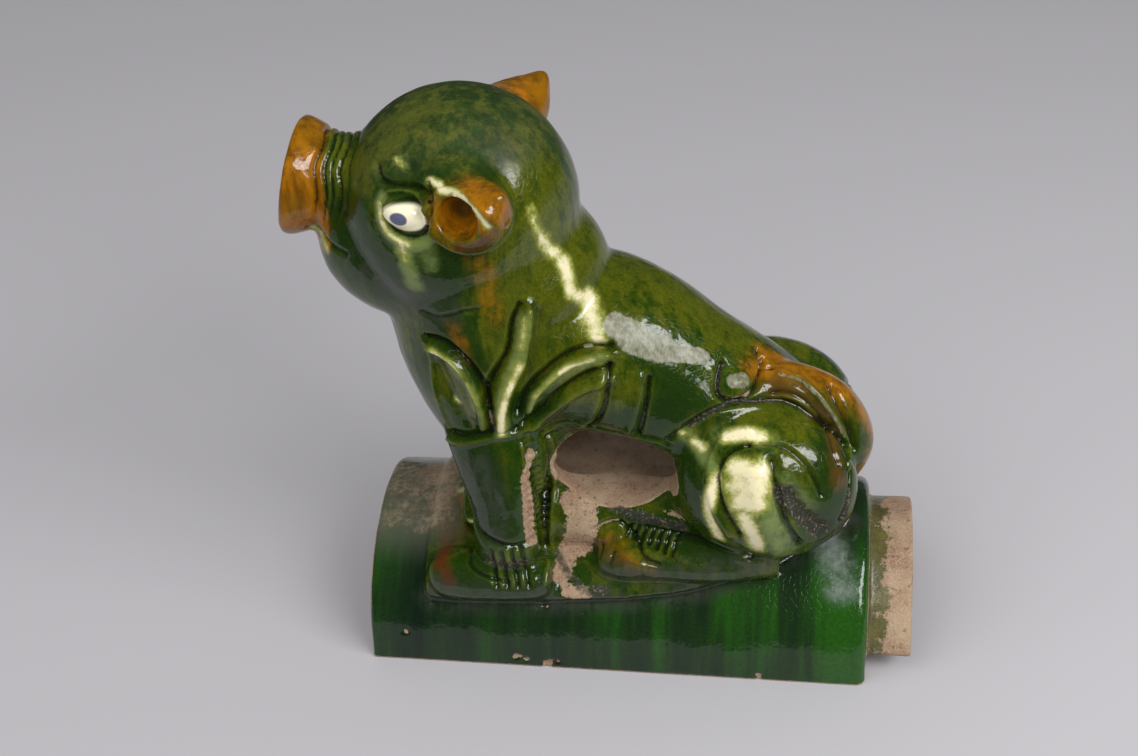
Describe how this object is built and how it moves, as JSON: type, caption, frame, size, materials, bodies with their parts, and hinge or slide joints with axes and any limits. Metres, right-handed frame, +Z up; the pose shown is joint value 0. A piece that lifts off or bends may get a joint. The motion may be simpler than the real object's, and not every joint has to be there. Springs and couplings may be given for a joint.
{
  "type": "roof ornament tile",
  "caption": "Half-round ridge tile in green and amber glazed clay, carrying a hollow seated beast with a pig's snout; a stepped spigot slips under the next tile.",
  "frame": {"origin": "middle of the whole piece's footprint, on the plane of the tile's two long bedding edges", "axes": "+X along the tile towards the spigot, the beast looks along -X, +Y to the beast's left, +Z up"},
  "size_m": [0.2513, 0.117, 0.2359],
  "materials": {
    "glazed_clay": "glossy lead glaze, green with amber and cream, over buff clay left bare at the spigot, the crown and inside"
  },
  "bodies": {
    "root": {"ridge_tile_with_beast": "glazed_clay"}
  },
  "joints": []
}
